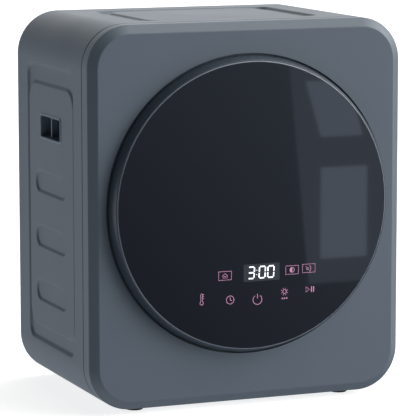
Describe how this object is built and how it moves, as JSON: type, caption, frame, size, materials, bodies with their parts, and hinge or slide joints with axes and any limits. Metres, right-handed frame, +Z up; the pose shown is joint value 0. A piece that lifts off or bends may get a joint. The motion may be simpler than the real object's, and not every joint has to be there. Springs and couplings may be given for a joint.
{
  "type": "compact vented clothes dryer",
  "caption": "Compact countertop vented clothes dryer: slate steel cabinet, round tinted glass door with touch display, stainless drum, belt drive, fan and rear exhaust collar.",
  "frame": {"origin": "bottom centre of the machine's box, on the floor under its feet", "axes": "+X to the viewer's right, -Y towards the viewer out of the door, +Z up"},
  "size_m": [0.5, 0.3854, 0.577],
  "materials": {
    "cabinet_paint": "satin slate blue-grey powder coat",
    "bezel_plastic": "satin slate blue-grey moulded ABS",
    "stainless": "brushed stainless steel",
    "zinc_steel": "zinc plated sheet steel",
    "aluminium": "die-cast aluminium",
    "black_plastic": "semi-gloss black ABS",
    "grey_plastic": "moulded grey polypropylene",
    "rubber": "moulded black rubber",
    "felt": "pressed grey felt",
    "tinted_glass": "dark tinted tempered glass, polished",
    "clear_plastic": "clear moulded bowl",
    "circuit": "green solder resist",
    "ceramic": "unglazed heater ceramic"
  },
  "bodies": {
    "cabinet": {"outer_wrap": "cabinet_paint", "rear_cover": "cabinet_paint", "front_panel": "bezel_plastic", "rear_panel": "zinc_steel", "front_bulkhead": "zinc_steel", "base_tray": "zinc_steel", "air_plenum": "zinc_steel", "exhaust_collar": "zinc_steel", "motor_bracket": "zinc_steel", "idler_bracket": "zinc_steel", "shaft_bearing": "stainless", "idler_spring": "stainless", "hinge_bracket": "stainless", "hinge_pin": "stainless", "bearing_housing": "aluminium", "motor": "aluminium", "handle_pocket_left": "black_plastic", "handle_pocket_right": "black_plastic", "latch_housing": "black_plastic", "door_switch_case": "black_plastic", "thermostat": "black_plastic", "cord_inlet": "black_plastic", "mains_board_case": "black_plastic", "filter_housing": "grey_plastic", "air_duct": "grey_plastic", "fan_housing": "grey_plastic", "door_seal": "rubber", "drive_belt": "rubber", "foot_front_left": "rubber", "foot_front_right": "rubber", "foot_rear_left": "rubber", "foot_rear_right": "rubber", "front_felt": "felt", "rear_felt": "felt", "heater": "ceramic"},
    "door": {"door_glass": "tinted_glass", "door_ring": "black_plastic", "door_inner_frame": "grey_plastic", "door_bowl": "clear_plastic", "control_board": "circuit", "display_module": "black_plastic", "touch_sensor": "black_plastic", "hinge_leaf": "stainless", "latch_hook": "stainless"},
    "drum_assembly": {"drum": "stainless", "drum_back": "stainless", "drum_hub": "aluminium", "drum_shaft": "stainless", "drum_lifter_1": "grey_plastic", "drum_lifter_2": "grey_plastic", "drum_lifter_3": "grey_plastic"},
    "motor_rotor": {"motor_shaft": "stainless", "motor_pulley": "aluminium", "fan_wheel": "grey_plastic"},
    "idler_lever": {"idler_arm": "zinc_steel"},
    "idler_wheel": {"idler_pulley": "black_plastic"},
    "filter": {"lint_filter": "grey_plastic"},
    "pawl": {"latch_pawl": "grey_plastic"},
    "plunger": {"door_switch_plunger": "grey_plastic"}
  },
  "joints": [
    {"name": "door_hinge", "type": "hinge", "parent": "cabinet", "child": "door", "pos_m": [-0.2125, -0.1793, 0.3053], "axis": [0, 0, -1], "range_deg": [0, 105]},
    {"name": "drum_spin", "type": "hinge", "parent": "cabinet", "child": "drum_assembly", "pos_m": [0, -0.0123, 0.3053], "axis": [0, 1, 0], "continuous": true},
    {"name": "motor_spin", "type": "hinge", "parent": "cabinet", "child": "motor_rotor", "pos_m": [0.165, -0.0123, 0.075], "axis": [0, 1, 0], "continuous": true},
    {"name": "idler_arm_swing", "type": "hinge", "parent": "cabinet", "child": "idler_lever", "pos_m": [0.055, -0.0483, 0.032], "axis": [0, 1, 0], "range_deg": [0, 8], "stiffness_Nm_per_rad": 1.5, "springref_deg": -20.05},
    {"name": "idler_spin", "type": "hinge", "parent": "idler_lever", "child": "idler_wheel", "pos_m": [0.09152, -0.0588, 0.06333], "axis": [0, 1, 0], "continuous": true},
    {"name": "filter_slide", "type": "slide", "parent": "cabinet", "child": "filter", "axis": [0, 0, 1], "range_m": [0, 0.08]},
    {"name": "latch_pawl_swing", "type": "hinge", "parent": "cabinet", "child": "pawl", "pos_m": [0.1982, -0.1483, 0.3053], "axis": [0, 0, 1], "range_deg": [0, 12], "stiffness_Nm_per_rad": 0.05},
    {"name": "door_switch_press", "type": "slide", "parent": "cabinet", "child": "plunger", "axis": [0, 1, 0], "range_m": [0, 0.0025], "stiffness_N_per_m": 120}
  ],
  "couplings": [
    {"joint": "motor_spin", "follows": "drum_spin", "ratio": 18.446},
    {"joint": "idler_spin", "follows": "drum_spin", "ratio": -14.757}
  ]
}
